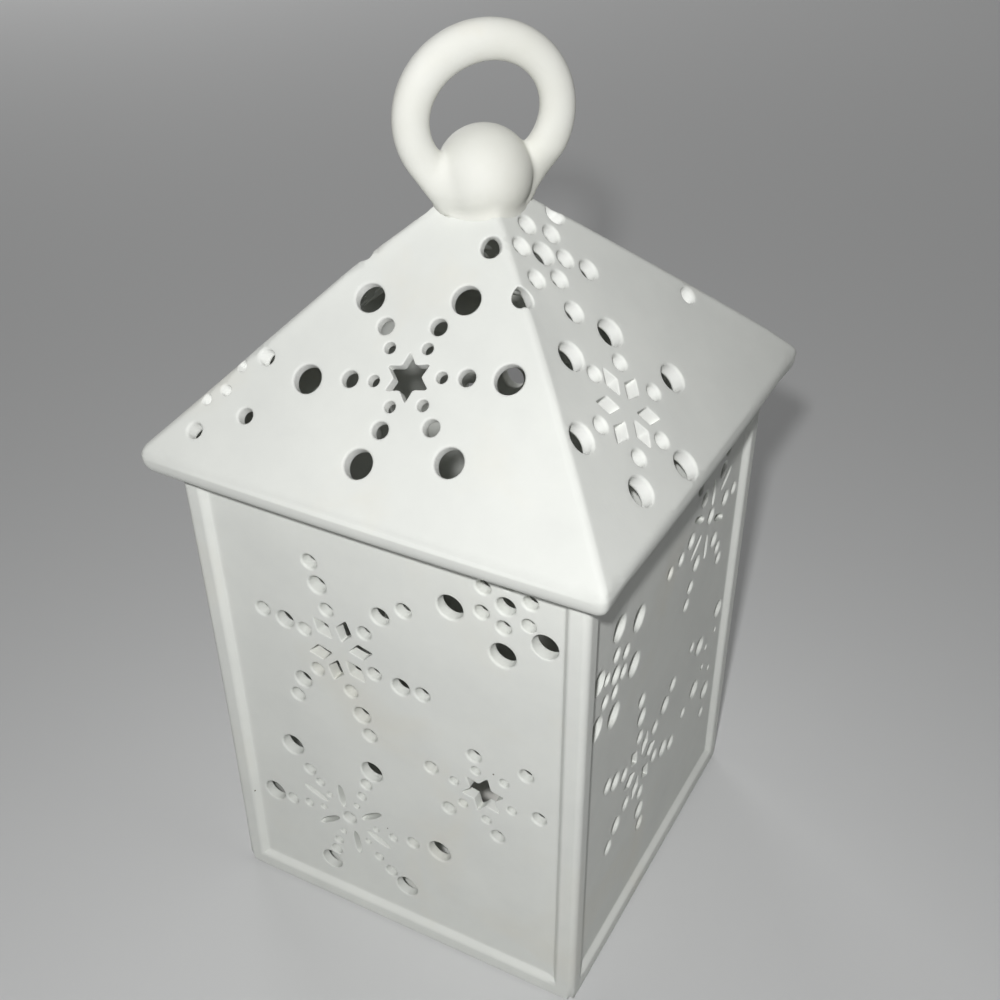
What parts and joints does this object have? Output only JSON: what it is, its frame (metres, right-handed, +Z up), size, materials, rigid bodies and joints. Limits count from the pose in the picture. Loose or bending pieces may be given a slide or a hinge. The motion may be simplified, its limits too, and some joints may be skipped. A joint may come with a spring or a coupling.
{
  "type": "pierced candle lantern",
  "caption": "Square white ceramic candle lantern with pierced snowflake walls and a loose pyramid roof that carries a ball finial and a ring handle.",
  "frame": {"origin": "centre of the base, on the table", "axes": "+Z up through the finial, the front wall faces -Y, the right wall faces +X"},
  "size_m": [0.1258, 0.1258, 0.246],
  "materials": {
    "bisque": "matte white bisque",
    "finial_bisque": "matte white bisque, slightly yellowed by handling",
    "cup_aluminium": "thin pressed sheet",
    "wax": "paraffin wax",
    "wick_cotton": "waxed cotton"
  },
  "bodies": {
    "body": {"floor_slab": "bisque", "wall_front": "bisque", "wall_right": "bisque", "wall_back": "bisque", "wall_left": "bisque", "rail_front": "bisque", "rail_right": "bisque", "rail_back": "bisque", "rail_left": "bisque", "post_front_right": "bisque", "post_back_right": "bisque", "post_back_left": "bisque", "post_front_left": "bisque"},
    "roof": {"roof_front": "bisque", "roof_right": "bisque", "roof_back": "bisque", "roof_left": "bisque", "eave_front": "bisque", "eave_right": "bisque", "eave_back": "bisque", "eave_left": "bisque", "lip_front": "bisque", "lip_right": "bisque", "lip_back": "bisque", "lip_left": "bisque", "finial_ball": "finial_bisque", "ring_handle": "finial_bisque"},
    "tealight": {"tealight_cup": "cup_aluminium", "wick_sustainer": "cup_aluminium", "tealight_wax": "wax", "wick": "wick_cotton"}
  },
  "joints": [
    {"name": "roof_lift", "type": "slide", "parent": "body", "child": "roof", "axis": [0, 0, 1], "range_m": [0, 0.15]},
    {"name": "tealight_lift", "type": "slide", "parent": "body", "child": "tealight", "axis": [0, 0, 1], "range_m": [0, 0.137]}
  ]
}
